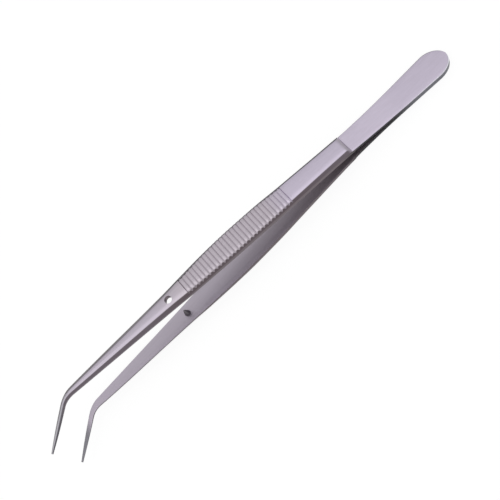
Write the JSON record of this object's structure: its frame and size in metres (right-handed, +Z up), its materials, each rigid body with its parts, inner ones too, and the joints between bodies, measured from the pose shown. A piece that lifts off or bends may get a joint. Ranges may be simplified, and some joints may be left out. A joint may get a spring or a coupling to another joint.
{
  "type": "thumb forceps",
  "caption": "Spring thumb forceps with a rounded welded head, ridged grips, a guide pin and hole, and long tapering jaws with fine tips bent to one side.",
  "frame": {"origin": "centre of the bounding box's base, on the surface that the forceps lies on", "axes": "+X runs along the length from the round head end to the tips, +Y is the side that the tips bend to, and +Z is up, nearly along the opening of the arms"},
  "size_m": [0.1516, 0.0146, 0.0206],
  "materials": {
    "satin_steel": "fine satin stainless steel, slightly lilac grey, darker on the ground side edges",
    "pin_steel": "turned steel, darker than the arms"
  },
  "bodies": {
    "root": {"upper_arm": "satin_steel", "lower_arm": "satin_steel", "guide_pin": "pin_steel"}
  },
  "joints": []
}
